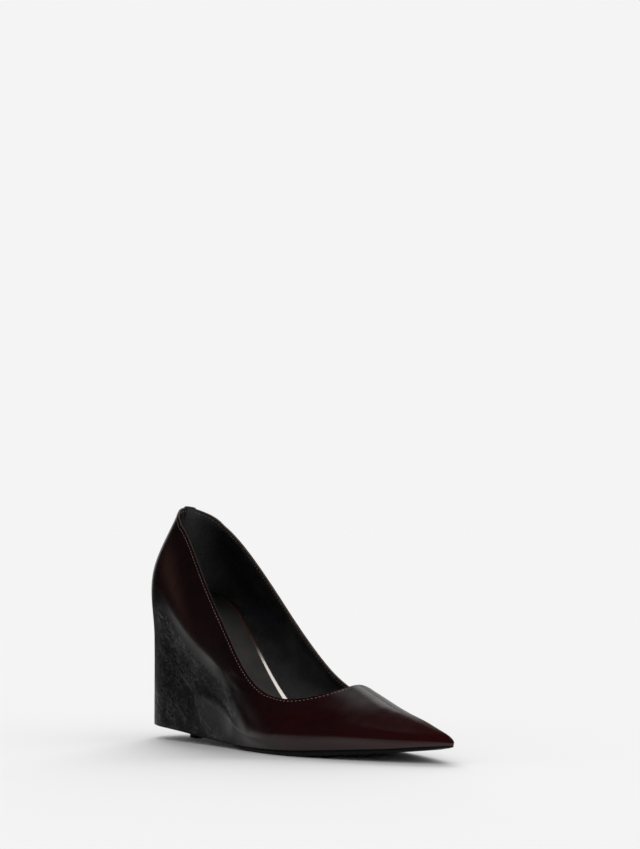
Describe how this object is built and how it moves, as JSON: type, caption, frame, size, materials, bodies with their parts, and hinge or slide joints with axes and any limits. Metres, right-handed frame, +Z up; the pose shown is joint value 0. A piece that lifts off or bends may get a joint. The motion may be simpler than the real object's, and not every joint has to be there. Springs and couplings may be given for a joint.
{
  "type": "wedge pump",
  "caption": "Pointed pump for a right foot, with a hollow leather upper that runs down over a high wedge to a small round heel tip, and a thin forepart sole.",
  "frame": {"origin": "on the floor, under the middle of the shoe's box", "axes": "+X from heel to toe, +Y towards the inner side of the foot, +Z up"},
  "size_m": [0.2388, 0.0812, 0.1384],
  "materials": {
    "upper_leather": "polished",
    "sock_leather": "satin",
    "wedge_core": "matte",
    "sole": "satin",
    "tab_leather": "polished"
  },
  "bodies": {
    "root": {"upper": "upper_leather", "insole": "sock_leather", "wedge_heel": "wedge_core", "outsole": "sole", "heel_tip": "sole", "back_tab": "tab_leather"}
  },
  "joints": []
}
